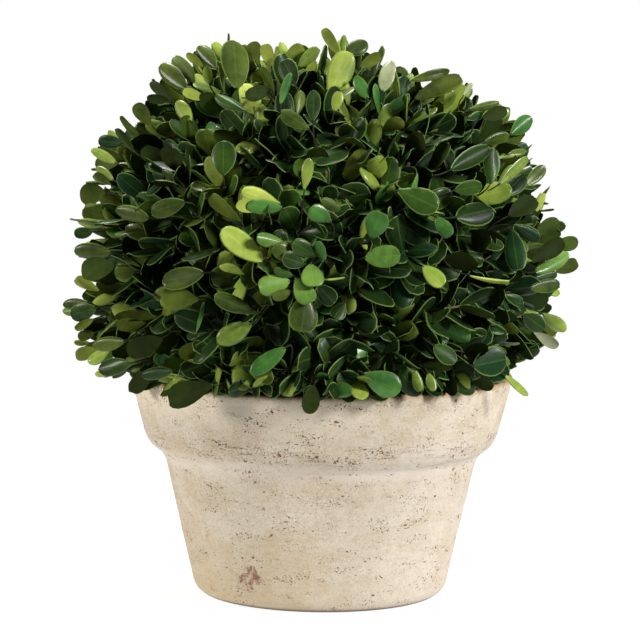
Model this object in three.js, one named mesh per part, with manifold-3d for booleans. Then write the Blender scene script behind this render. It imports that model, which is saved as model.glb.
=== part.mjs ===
// A box topiary ball in an aged clay pot: a clipped ball of box on a short stem, which grows in a
// flower pot that is filled with soil. Millimetres, +Z up, and the pot's underside lies on Z = 0.
import * as THREE from "three";
import { mergeVertices } from "three/addons/utils/BufferGeometryUtils.js";
import Module from "manifold-3d";

const wasm = await Module();
wasm.setup();

// Driving dimensions of the pot
const POT_HEIGHT = 107;
const RIM_RADIUS = 92.3; // outside, at the top edge
const RIM_BAND_HEIGHT = 38; // from the top edge down to the step under the band
const RIM_BAND_TAPER = 0.26; // how fast the band's outside narrows on its way down
const BAND_EDGE_HEIGHT = 12; // the band's soft lower edge, above the step
const BAND_EDGE_CORNER = [1.8, 7]; // that curve's corner: inwards and down from where it starts
const BODY_RADIUS = 75.5; // outside, just under the band
const FOOT_RADIUS = 59.5; // where the wall's slope would meet the ground
const FOOT_ROUNDING = 8;
const WALL = 9;
const FLOOR = 11;
const FLOOR_CORNER = 4; // the bevel inside, between the floor and the wall
const LIP_ROUNDING = 2.5;
const DRAIN_RADIUS = 9;
const POT_SIDES = 60;

// Driving dimensions of what is in the pot
const SEAT_GAP = 0.3; // between pieces that touch
const SOIL_DEPTH_BELOW_RIM = 20;
const SOIL_CROWNING = 3; // how much higher the soil is heaped round the stem
const STEM_RADIUS = 8.5;
const STEM_TAPER = 0.16; // how much thinner the stem is at its tip, as a share
const STEM_FLARE = 7; // how much wider the root flare is than the stem
const STEM_RIBS = 5;
const STEM_RIB_DEPTH = 0.1; // as a share of the radius
const STEM_TOP = 103;
const STEM_LEAN = [1.6, -1.1]; // sideways, from the soil to the tip
const STEM_SIDES = 14;

// Driving dimensions of the clipped ball
const BALL_CENTRE = 158;
const BALL_HALF_WIDTH = 121;
const BALL_HALF_HEIGHT = 110;
const BALL_SQUARENESS = 2.25; // 2 is an ellipse, and more has fuller shoulders
const BALL_STEM_RADIUS = 6.5;
const BALL_STEM_IN_CORE = 12;
const CORE_SHARE = 0.73; // the dense core's reach, as a share of the ball's
const CORE_UNDERSIDE = 106;
const CORE_NECK = 75; // radius of the core's flat underside
const CORE_UNEVENNESS = 1.5;

// Driving dimensions of the twigs
const TWIGS = 112;
const LOWEST_TWIG = -0.5; // sine of the lowest twig's angle below the ball's centre
const LIFTED_BELOW = -0.3; // twigs lower than this bend outwards, over the pot's rim
const LIFT = 1.2;
const TWIG_RADIUS = 2.3;
const TWIG_TAPER = 0.15;
const TWIG_IN_CORE = 8;
const TWIG_PAST_LEAF = 3.5;
const TWIG_STRAYING = 0.12; // how far a twig points away from straight out

// Driving dimensions of the leaves. There are fewer than on the real plant, and each is larger.
const LEAF_LENGTH = 29;
const LEAF_WIDTH = 17;
const LEAF_THICKNESS = 1.2;
const LEAF_WIDEST_AT = 0.58; // shares of the leaf's length
const LEAF_SHOULDER_AT = 0.93;
const LEAF_CURL = 0.05;
const LEAF_TIP_WIDTH = 0.55; // share of the leaf's width
const LEAF_SIZE_VARIES = 0.12;
const LEAF_ANGLE_VARIES = 5; // degrees
const LEAF_TURN_VARIES = 0.12;
const LEAF_TRIES = 8;
const ROOT_DEPTH = 1.1; // how deep a leaf's root is sunk, measured from the twig's skin
const CLEAR_OF_POT = 1.5; // least distance from the foliage to the pot
const LOWEST_LEAF = 97; // how far down the leaves hang over the rim
const PAST_REACH = 6; // how far a leaf may stand past the ball's reach

// The two opposite pairs of leaves on a twig, the upper one turned by a right angle. Each pair has
// its angle from the twig in degrees, and how far its tips stay inside the ball's reach.
const PAIRS = [
  { out: 58, inside: 14 },
  { out: 36, inside: -2 },
];

const turn = Math.PI * 2;
const radians = THREE.MathUtils.degToRad;

// The same number from 0 to 1 for the same pair, so that every build gives the same plant.
function chance(index, kind) {
  const s = Math.sin(index * 12.9898 + kind * 78.233 + 3.7) * 43758.5453;
  return s - Math.floor(s);
}

function vary(index, kind, most) {
  return (chance(index, kind) * 2 - 1) * most;
}

// Tufts that the shears left proud, and dips between them, as seen from the front: azimuth from +X
// towards +Y and elevation in degrees, rise in millimetres, and how wide each one is in degrees.
const TUFTS = [
  { azimuth: 180, elevation: 54, rise: 9, spread: 15 },
  { azimuth: 180, elevation: 25, rise: 5, spread: 9 },
  { azimuth: 180, elevation: -13, rise: 9, spread: 13 },
  { azimuth: 0, elevation: 37, rise: 4, spread: 8 },
  { azimuth: 0, elevation: 3, rise: 7, spread: 8 },
  { azimuth: 0, elevation: -17, rise: 5, spread: 6 },
  { azimuth: 0, elevation: 17, rise: -9, spread: 8 },
  { azimuth: 0, elevation: 68, rise: -5, spread: 9 },
  { azimuth: 0, elevation: -9, rise: -5, spread: 4 },
  { azimuth: -90, elevation: 86, rise: 8, spread: 12 },
  { azimuth: 90, elevation: 50, rise: 5, spread: 13 },
  { azimuth: 60, elevation: 12, rise: 3, spread: 11 },
  { azimuth: 130, elevation: -4, rise: 3, spread: 10 },
  { azimuth: -60, elevation: 20, rise: 3, spread: 10 },
  { azimuth: -110, elevation: 3, rise: 4, spread: 12 },
];

function direction(azimuth, elevation) {
  const across = Math.cos(elevation);
  return new THREE.Vector3(across * Math.cos(azimuth), across * Math.sin(azimuth), Math.sin(elevation));
}

const tuftAims = TUFTS.map((t) => direction(radians(t.azimuth), radians(t.elevation)));

// How far the clipped ball reaches from its centre along a unit vector.
function reach(d) {
  const across = Math.hypot(d.x, d.y) / BALL_HALF_WIDTH;
  const up = Math.abs(d.z) / BALL_HALF_HEIGHT;
  let r = Math.pow(across ** BALL_SQUARENESS + up ** BALL_SQUARENESS, -1 / BALL_SQUARENESS);
  TUFTS.forEach((t, i) => {
    const away = d.angleTo(tuftAims[i]) / radians(t.spread);
    r += t.rise * Math.exp(-away * away);
  });
  return r;
}

const ballCentre = new THREE.Vector3(0, 0, BALL_CENTRE);

// A closed geometry as a manifold-3d solid.
function solidOf(geometry) {
  const bare = geometry.index ? geometry.toNonIndexed() : geometry.clone();
  bare.deleteAttribute("normal");
  bare.deleteAttribute("uv");
  const merged = mergeVertices(bare, 1e-4);
  return new wasm.Manifold(
    new wasm.Mesh({
      numProp: 3,
      vertProperties: new Float32Array(merged.attributes.position.array),
      triVerts: new Uint32Array(merged.index.array),
    }),
  );
}

function geometryOf(solid) {
  const made = solid.getMesh();
  const places = new Float32Array(made.numVert * 3);
  for (let i = 0; i < made.numVert; i++) {
    places.set(made.vertProperties.subarray(i * made.numProp, i * made.numProp + 3), i * 3);
  }
  const geometry = new THREE.BufferGeometry();
  geometry.setAttribute("position", new THREE.BufferAttribute(places, 3));
  geometry.setIndex(new THREE.BufferAttribute(new Uint32Array(made.triVerts), 1));
  geometry.computeVertexNormals();
  return geometry;
}

// Points on a quadratic curve from a to c, pulled towards b.
function bend(a, b, c, steps) {
  return new THREE.QuadraticBezierCurve(a, b, c).getPoints(steps);
}

// A profile of (radius, height) points, turned about the Z axis.
function turned(profile, sides) {
  return new THREE.LatheGeometry(profile, sides).rotateX(Math.PI / 2);
}

const point = (r, z) => new THREE.Vector2(r, z);

// The pot: a band with a soft, worn lower edge over a tapering body with a rounded foot.
function bodyRadius(height) {
  const slope = (BODY_RADIUS - FOOT_RADIUS) / (POT_HEIGHT - RIM_BAND_HEIGHT);
  return FOOT_RADIUS + slope * height;
}

function bandRadius(height) {
  return RIM_RADIUS - RIM_BAND_TAPER * (POT_HEIGHT - height);
}

// The radius inside, which widens evenly from the bevel at the floor to the lip.
function wallInside(height) {
  const low = FLOOR + FLOOR_CORNER;
  const share = (height - low) / (POT_HEIGHT - LIP_ROUNDING - low);
  return THREE.MathUtils.lerp(bodyRadius(low) - WALL, RIM_RADIUS - WALL, share);
}

function potProfile() {
  const step = POT_HEIGHT - RIM_BAND_HEIGHT;
  const edge = step + BAND_EDGE_HEIGHT;
  const lip = POT_HEIGHT - LIP_ROUNDING;
  const bevel = FLOOR + FLOOR_CORNER;
  const outerFoot = bend(
    point(FOOT_RADIUS - FOOT_ROUNDING, 0),
    point(FOOT_RADIUS, 0),
    point(bodyRadius(FOOT_ROUNDING), FOOT_ROUNDING),
    5,
  );
  const bandEdge = bend(
    point(bodyRadius(step), step),
    point(bandRadius(edge) - BAND_EDGE_CORNER[0], edge - BAND_EDGE_CORNER[1]),
    point(bandRadius(edge), edge),
    5,
  );
  const outerLip = bend(
    point(bandRadius(lip), lip),
    point(RIM_RADIUS, POT_HEIGHT),
    point(RIM_RADIUS - LIP_ROUNDING, POT_HEIGHT),
    3,
  );
  const innerLip = bend(
    point(wallInside(lip) + LIP_ROUNDING, POT_HEIGHT),
    point(wallInside(lip), POT_HEIGHT),
    point(wallInside(lip), lip),
    3,
  );
  return [
    point(DRAIN_RADIUS, 0),
    ...outerFoot,
    ...bandEdge,
    ...outerLip,
    ...innerLip,
    point(wallInside(bevel), bevel),
    point(wallInside(bevel) - FLOOR_CORNER, FLOOR),
    point(DRAIN_RADIUS, FLOOR),
    point(DRAIN_RADIUS, 0),
  ];
}

function potGeometry() {
  return turned(potProfile(), POT_SIDES);
}

// The soil fills the pot to a little below its rim, and is heaped slightly towards the stem.
const soilTop = POT_HEIGHT - SOIL_DEPTH_BELOW_RIM;

function soilGeometry() {
  const floor = FLOOR + SEAT_GAP;
  const bevel = floor + FLOOR_CORNER;
  const side = (height) => wallInside(height) - SEAT_GAP * 1.5;
  const crown = soilTop + SOIL_CROWNING;
  return turned(
    [
      point(0, floor),
      point(side(bevel) - FLOOR_CORNER, floor),
      point(side(bevel), bevel),
      ...bend(point(side(soilTop), soilTop), point(side(soilTop) / 2, crown), point(0, crown), 4),
    ],
    POT_SIDES,
  );
}

// The stem tapers from its ribbed root flare on the soil to its tip under the ball, and leans a little.
function stemGeometry() {
  const foot = soilTop + SOIL_CROWNING + SEAT_GAP;
  const length = STEM_TOP - foot;
  const rings = 9;
  const profile = [point(0, 0)];
  for (let i = 0; i <= rings; i++) {
    const share = i / rings;
    const flare = STEM_FLARE * (1 - share) ** 3;
    profile.push(point(STEM_RADIUS * (1 - STEM_TAPER * share) + flare, share * length));
  }
  profile.push(point(0, length));
  const geometry = turned(profile, STEM_SIDES);
  const places = geometry.attributes.position;
  for (let i = 0; i < places.count; i++) {
    const share = places.getZ(i) / length;
    const angle = Math.atan2(places.getY(i), places.getX(i));
    const ribs = 1 + STEM_RIB_DEPTH * (1 - share) * Math.cos(STEM_RIBS * angle);
    places.setX(i, places.getX(i) * ribs + STEM_LEAN[0] * share);
    places.setY(i, places.getY(i) * ribs + STEM_LEAN[1] * share);
  }
  return geometry.translate(0, 0, foot);
}

// The dense core follows the clipped ball's shape at a smaller reach, with a flat underside.
function coreSolid() {
  const columns = 20;
  const rows = 9;
  const low = Math.atan2(CORE_UNDERSIDE - BALL_CENTRE, CORE_NECK);
  const points = [];
  const faces = [];
  for (let j = 0; j < rows; j++) {
    const elevation = low + ((Math.PI / 2 - low) * j) / rows;
    for (let i = 0; i < columns; i++) {
      const azimuth = (turn * (i + 0.5 * (j % 2))) / columns;
      const d = direction(azimuth, elevation);
      const r = reach(d) * CORE_SHARE + vary(j * columns + i, 1, CORE_UNEVENNESS);
      const place = d.multiplyScalar(r).add(ballCentre);
      if (j === 0) {
        place.z = CORE_UNDERSIDE;
      }
      points.push(place.x, place.y, place.z);
    }
  }
  const top = points.length / 3;
  points.push(0, 0, BALL_CENTRE + reach(new THREE.Vector3(0, 0, 1)) * CORE_SHARE);
  const bottom = top + 1;
  points.push(0, 0, CORE_UNDERSIDE);
  for (let i = 0; i < columns; i++) {
    const next = (i + 1) % columns;
    for (let j = 0; j < rows - 1; j++) {
      const a = j * columns + i;
      const b = j * columns + next;
      const c = (j + 1) * columns + i;
      const d = (j + 1) * columns + next;
      if (j % 2) {
        faces.push(a, b, d, a, d, c);
      } else {
        faces.push(a, b, c, b, d, c);
      }
    }
    faces.push((rows - 1) * columns + i, (rows - 1) * columns + next, top);
    faces.push(i, bottom, next);
  }
  return new wasm.Manifold(
    new wasm.Mesh({
      numProp: 3,
      vertProperties: new Float32Array(points),
      triVerts: new Uint32Array(faces),
    }),
  );
}

// The ball's own stem runs from just above the stem's tip into the core.
function ballStem() {
  const from = STEM_TOP + SEAT_GAP;
  const length = CORE_UNDERSIDE + BALL_STEM_IN_CORE - from;
  const geometry = new THREE.CylinderGeometry(BALL_STEM_RADIUS, BALL_STEM_RADIUS, length, STEM_SIDES);
  geometry.rotateX(Math.PI / 2);
  geometry.translate(STEM_LEAN[0], STEM_LEAN[1], from + length / 2);
  return solidOf(geometry);
}

// The shortest turn that takes +Z to the given direction.
function aimed(along) {
  return new THREE.Quaternion().setFromUnitVectors(new THREE.Vector3(0, 0, 1), along);
}

// One box leaf of ten faces with a blunt tip, growing along +Z with its face towards +X.
function leafGeometry(length, width) {
  const half = width / 2;
  const tip = half * LEAF_TIP_WIDTH;
  const widest = LEAF_WIDEST_AT * length;
  const shoulder = LEAF_SHOULDER_AT * length;
  const outline = [
    [0, 0],
    [half, widest],
    [tip, shoulder],
    [-tip, shoulder],
    [-half, widest],
  ];
  const points = outline.flatMap(([y, z]) => [LEAF_CURL * length * (z / length) ** 2, y, z]);
  const front = outline.length;
  const back = front + 1;
  points.push(LEAF_THICKNESS * 0.75, 0, widest);
  points.push(-LEAF_THICKNESS * 0.25, 0, widest);
  const faces = [];
  outline.forEach((_, i) => {
    const next = (i + 1) % outline.length;
    faces.push(i, next, front);
    faces.push(next, i, back);
  });
  const geometry = new THREE.BufferGeometry();
  geometry.setAttribute("position", new THREE.Float32BufferAttribute(points, 3));
  geometry.setIndex(faces);
  return geometry;
}

// A four-sided twig along +Z, with its faces square to X and Y.
const TWIG_SIDES = 4;
const twigFace = TWIG_RADIUS * (1 - TWIG_TAPER) * Math.cos(Math.PI / TWIG_SIDES);

function twigGeometry(length) {
  const tip = TWIG_RADIUS * (1 - TWIG_TAPER);
  const geometry = new THREE.CylinderGeometry(tip, TWIG_RADIUS, length, TWIG_SIDES);
  geometry.rotateY(Math.PI / TWIG_SIDES);
  geometry.rotateX(Math.PI / 2);
  return geometry.translate(0, 0, length / 2);
}

// Twig number i of the ball: where its foot is, where it points, and how far the ball reaches there.
function twigRule(i) {
  const share = (i + 0.5) / TWIGS;
  const up = 1 - share * (1 - LOWEST_TWIG);
  const goldenAngle = Math.PI * (3 - Math.sqrt(5));
  const azimuth = goldenAngle * i + vary(i, 2, 0.1);
  const elevation = Math.asin(THREE.MathUtils.clamp(up + vary(i, 3, 0.02), -1, 1));
  const d = direction(azimuth, elevation);
  const r = reach(d);
  const foot = ballCentre.clone().addScaledVector(d, r * CORE_SHARE - TWIG_IN_CORE);
  const stray = [4, 5, 6].map((kind) => vary(i, kind, TWIG_STRAYING));
  const along = d.clone().add(new THREE.Vector3(...stray));
  along.z += Math.max(0, LIFTED_BELOW - d.z) * LIFT;
  return { r, foot, along: along.normalize(), spin: chance(i, 7) * turn };
}

// Leaf number side of a pair on twig i. Each try bends it to another angle and turns its blade.
function leafOf(i, level, side, tries) {
  const kind = 8 + level * 2 + side + tries * 10;
  const { r, foot, along, spin } = twigRule(i);
  const pair = PAIRS[level];
  const out = radians(pair.out + vary(i, kind, LEAF_ANGLE_VARIES + 3 * tries));
  const size = 1 + vary(i, kind + 4, LEAF_SIZE_VARIES) - 0.04 * tries;
  const length = LEAF_LENGTH * size;
  const at = r * (1 - CORE_SHARE) + TWIG_IN_CORE - pair.inside - length * Math.cos(out);
  const geometry = leafGeometry(length, LEAF_WIDTH * size);
  geometry.rotateZ(vary(i, kind + 8, LEAF_TURN_VARIES * (1 + tries)));
  geometry.rotateY(out);
  geometry.translate(twigFace - ROOT_DEPTH, 0, at);
  geometry.rotateZ(spin + (level * turn) / 4 + (side * turn) / 2);
  geometry.applyQuaternion(aimed(along)).translate(foot.x, foot.y, foot.z);
  return { geometry, at };
}

// Whether a twig or leaf stays within the clipped ball's reach, and above its lower edge.
function withinReach(geometry) {
  const places = geometry.attributes.position;
  const p = new THREE.Vector3();
  for (let i = 0; i < places.count; i++) {
    if (p.fromBufferAttribute(places, i).z < LOWEST_LEAF) {
      return false;
    }
    const away = p.sub(ballCentre);
    const distance = away.length();
    if (distance > reach(away.normalize()) + PAST_REACH) {
      return false;
    }
  }
  return true;
}

// The space round the pot that no twig or leaf enters.
function potSpace() {
  const radius = RIM_RADIUS + CLEAR_OF_POT;
  const height = POT_HEIGHT + CLEAR_OF_POT;
  const geometry = new THREE.CylinderGeometry(radius, radius, height, POT_SIDES);
  return solidOf(geometry.rotateX(Math.PI / 2).translate(0, 0, height / 2));
}

function twigOf(i, length) {
  const { foot, along, spin } = twigRule(i);
  return twigGeometry(length).rotateZ(spin).applyQuaternion(aimed(along)).translate(foot.x, foot.y, foot.z);
}

function grown(twig, geometry) {
  geometry.computeBoundingBox();
  return { twig, geometry, solid: solidOf(geometry), box: geometry.boundingBox };
}

function cuts(a, b) {
  return a.twig !== b.twig && a.box.intersectsBox(b.box) && !a.solid.intersect(b.solid).isEmpty();
}

// The sprays: four leaves on each twig. A twig or leaf that would leave the foliage's space is
// skipped. A leaf that would cut another twig or its leaves tries other angles, and is left out if
// none of them clears it.
function grownSprays() {
  const pot = potSpace();
  const keepsItsSpace = (one) => withinReach(one.geometry) && one.solid.intersect(pot).isEmpty();
  const twigs = [];
  for (let i = 0; i < TWIGS; i++) {
    const { at } = leafOf(i, 1, 0, 0);
    const twig = grown(i, twigOf(i, at + TWIG_PAST_LEAF));
    if (keepsItsSpace(twig)) {
      twigs.push(twig);
    }
  }
  const leaves = [];
  for (const { twig } of twigs) {
    for (let slot = 0; slot < 4; slot++) {
      for (let tries = 0; tries < LEAF_TRIES; tries++) {
        const leaf = grown(twig, leafOf(twig, slot >> 1, slot & 1, tries).geometry);
        if (keepsItsSpace(leaf) && ![...twigs, ...leaves].some((other) => cuts(leaf, other))) {
          leaves.push(leaf);
          break;
        }
      }
    }
  }
  const bearing = new Set(leaves.map((leaf) => leaf.twig));
  return [...twigs.filter((one) => bearing.has(one.twig)), ...leaves].map((one) => one.solid);
}

function foliageGeometry() {
  const joined = wasm.Manifold.union([coreSolid(), ballStem(), ...grownSprays()]);
  const whole = joined.decompose().sort((a, b) => b.volume() - a.volume())[0];
  return geometryOf(whole);
}

function piece(name, geometry, color, roughness) {
  const mesh = new THREE.Mesh(geometry, new THREE.MeshStandardMaterial({ color, roughness, metalness: 0 }));
  mesh.name = name;
  return mesh;
}

const plant = new THREE.Group();
plant.add(
  piece("clay_pot", potGeometry(), 0xd9cbb2, 0.85),
  piece("soil", soilGeometry(), 0x2c2119, 0.95),
  piece("stem", stemGeometry(), 0x6b5a40, 0.8),
  piece("foliage_ball", foliageGeometry(), 0x3c6a2b, 0.5),
);

export default plant;
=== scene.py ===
"""The looks of a box topiary ball in an aged clay pot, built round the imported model.

Lengths here are in millimetres, and become metres where a mesh is made. A material's places are
in metres. +Z is up, and the photograph looks along +Y.
"""
import math

import bpy
import numpy as np
from mathutils import Euler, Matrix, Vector


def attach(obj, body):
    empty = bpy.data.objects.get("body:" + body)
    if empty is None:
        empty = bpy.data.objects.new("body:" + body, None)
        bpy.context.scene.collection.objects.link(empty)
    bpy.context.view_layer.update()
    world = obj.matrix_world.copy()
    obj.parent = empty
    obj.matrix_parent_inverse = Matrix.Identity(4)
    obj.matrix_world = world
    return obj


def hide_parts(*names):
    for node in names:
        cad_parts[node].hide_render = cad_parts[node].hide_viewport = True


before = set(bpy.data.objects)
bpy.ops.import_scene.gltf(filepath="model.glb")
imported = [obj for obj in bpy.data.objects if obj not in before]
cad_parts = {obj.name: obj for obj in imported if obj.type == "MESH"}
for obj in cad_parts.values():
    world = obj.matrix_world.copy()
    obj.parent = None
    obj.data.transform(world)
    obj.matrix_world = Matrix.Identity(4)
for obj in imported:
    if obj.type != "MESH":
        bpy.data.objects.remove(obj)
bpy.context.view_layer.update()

MM = 0.001
GOLDEN_ANGLE = math.pi * (3 - math.sqrt(5))

# The camera, fitted to the pot's rim, band and foot in the photograph
CAMERA_DISTANCE = 1600
CAMERA_HEIGHT = 307.1
CAMERA_PITCH = 6.236  # degrees down
CAMERA_YAW = 0.043
CAMERA_ROLL = 0.67
FOCAL_LENGTH = 188.26  # for a sensor 36 mm wide
SENSOR = 36
PHOTO_SIZE = 640  # pixels

# The pot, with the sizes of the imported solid
POT_HEIGHT = 107
RIM_RADIUS = 92.3
RIM_BAND_HEIGHT = 38
RIM_BAND_TAPER = 0.26
BAND_EDGE_HEIGHT = 12
BAND_EDGE_CORNER = (1.8, 7)
BAND_FILLET = 6
BODY_RADIUS = 75.5
FOOT_RADIUS = 59.5
FOOT_ROUNDING = 8
WALL = 9
FLOOR = 11
FLOOR_CORNER = 4
LIP_ROUNDING = 2.5
DRAIN_RADIUS = 9
POT_COLUMNS = 400

# What is in the pot
SOIL_TOP = 87
SOIL_CROWNING = 3
SOIL_CLEARANCE = 0.6
SOIL_DEPTH = 8  # from the soil's top to its piece's underside
SOIL_UNDER_STEM = 0.4
STEM_FOOT = 90.3
STEM_TOP = 103
STEM_RADIUS = 8.5
STEM_TAPER = 0.16
STEM_FLARE = 7
STEM_RIBS = 5
STEM_RIB_DEPTH = 0.1
STEM_LEAN = (1.6, -1.1)

# The clipped ball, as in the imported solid
BALL_CENTRE = 158
BALL_HALF_WIDTH = 121
BALL_HALF_HEIGHT = 110
BALL_SQUARENESS = 2.25
CORE_SHARE = 0.73
TWIGS = 112
LOWEST_TWIG = -0.5
LIFTED_BELOW = -0.3
LIFT = 1.2
TWIG_STRAYING = 0.12
TWIG_IN_CORE = 8

# How low the leaves hang: the lower edge rises to the right, and in front of the pot
LOWEST_LEAF = 97
EDGE_RISE = 0.13
SIDE_RISE = (48, 0.67)  # past the rim, as the height at the plant's axis and the slope
FRONT_RISE = 9
FRONT_FROM = 40  # the rise in front starts this far from the plant's axis, and is whole at twice as far

# How the clipped surface stands out, or lies in where the rise is negative
TUFTS = (
    # azimuth, elevation, rise in millimetres, spread in degrees
    (180, 54, 9, 15), (180, 25, 5, 9), (180, -13, 9, 13), (0, 37, 4, 8), (0, 3, 7, 8),
    (0, -17, 5, 6), (0, 17, -9, 8), (0, 68, -5, 9), (0, -9, -5, 4), (-90, 86, 8, 12),
    (90, 50, 5, 13), (60, 12, 3, 11), (130, -4, 3, 10), (-60, 20, 3, 10), (-110, 3, 4, 12),
)

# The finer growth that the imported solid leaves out
BOUGHS = 11
BOUGH_REACH = 52
BOUGH_RADII = (4.2, 2.2)
TWIG_RADII = (2.0, 1.0)
SHOOT_RADII = (1.0, 0.525)
STALK_RADII = (0.5, 0.3)
SHOOTS_PER_TWIG = 4
SHOOT_SPREAD = 0.118  # radians from the twig to the ring of shoots round it
TIP_INSIDE = 16.5  # how far a usual shoot's tip stays inside the ball's reach, which its leaves fill
SHOOT_FAN = 0.75  # how far the shoots fan out sideways, as a share of their length
PAIRS = 5
PAIR_SPACING = 5.5
RIM_SHOOTS = 64
RIM_SHOOT_ROOT = (56, 124)  # radius and height
RIM_SHOOT_PULL = 74  # the radius that its curve is pulled to
RIM_SHOOT_TIP = (84, 111)  # radius and height
RIM_IDS = 5000
LEAF_LENGTH = 21
LEAF_WIDTH = 0.48  # share of the leaf's length
LEAF_THICKNESS = 0.35
LEAF_SHAPES = 24
FINE_PAIRS = 2  # the outer pairs, whose leaves have the finer mesh
INNER_LEAVES = 2000
PIECE_TRIANGLES = 190000
REACH_LIMIT = 4  # how far a leaf may stand out of the clipped surface before it's bent in
REACH_END = 7  # and before it's left out
CLEAR_OF_POT = 1.2

# Places where the clipped surface dips in, by pixel of the photograph
HOLLOWS = (
    # pixel across, pixel down, depth in millimetres, spread in degrees
    (384, 200, 20, 5), (268, 172, 17, 5), (345, 150, 18, 5), (338, 262, 16, 4), (324, 184, 14, 6),
    (375, 318, 24, 6), (425, 335, 22, 6), (445, 303, 17, 6), (325, 352, 22, 6), (470, 290, 18, 5),
    (207, 240, 7, 4), (270, 345, 18, 5), (128, 160, 12, 5), (250, 145, 15, 5), (430, 155, 14, 4),
    (210, 128, 12, 5), (310, 106, 12, 4), (385, 140, 14, 6), (300, 135, 10, 5),
    # Notches in the outline
    (552, 368, 26, 12), (566, 194, 12, 8), (572, 228, 6, 4), (556, 308, 8, 5), (112, 106, 19, 5),
    (58, 293, 13, 5), (94, 180, 10, 4), (82, 254, 8, 4), (130, 372, 13, 5), (290, 48, 7, 3),
    (418, 50, 17, 7), (308, 36, 9, 4),
)

# Painted shade: places where the leaves are dealt deeper tones because they lie in shade, by pixel of the
# photograph, with their spread in degrees
SHADES = ((405, 330, 20), (130, 190, 13))

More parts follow.
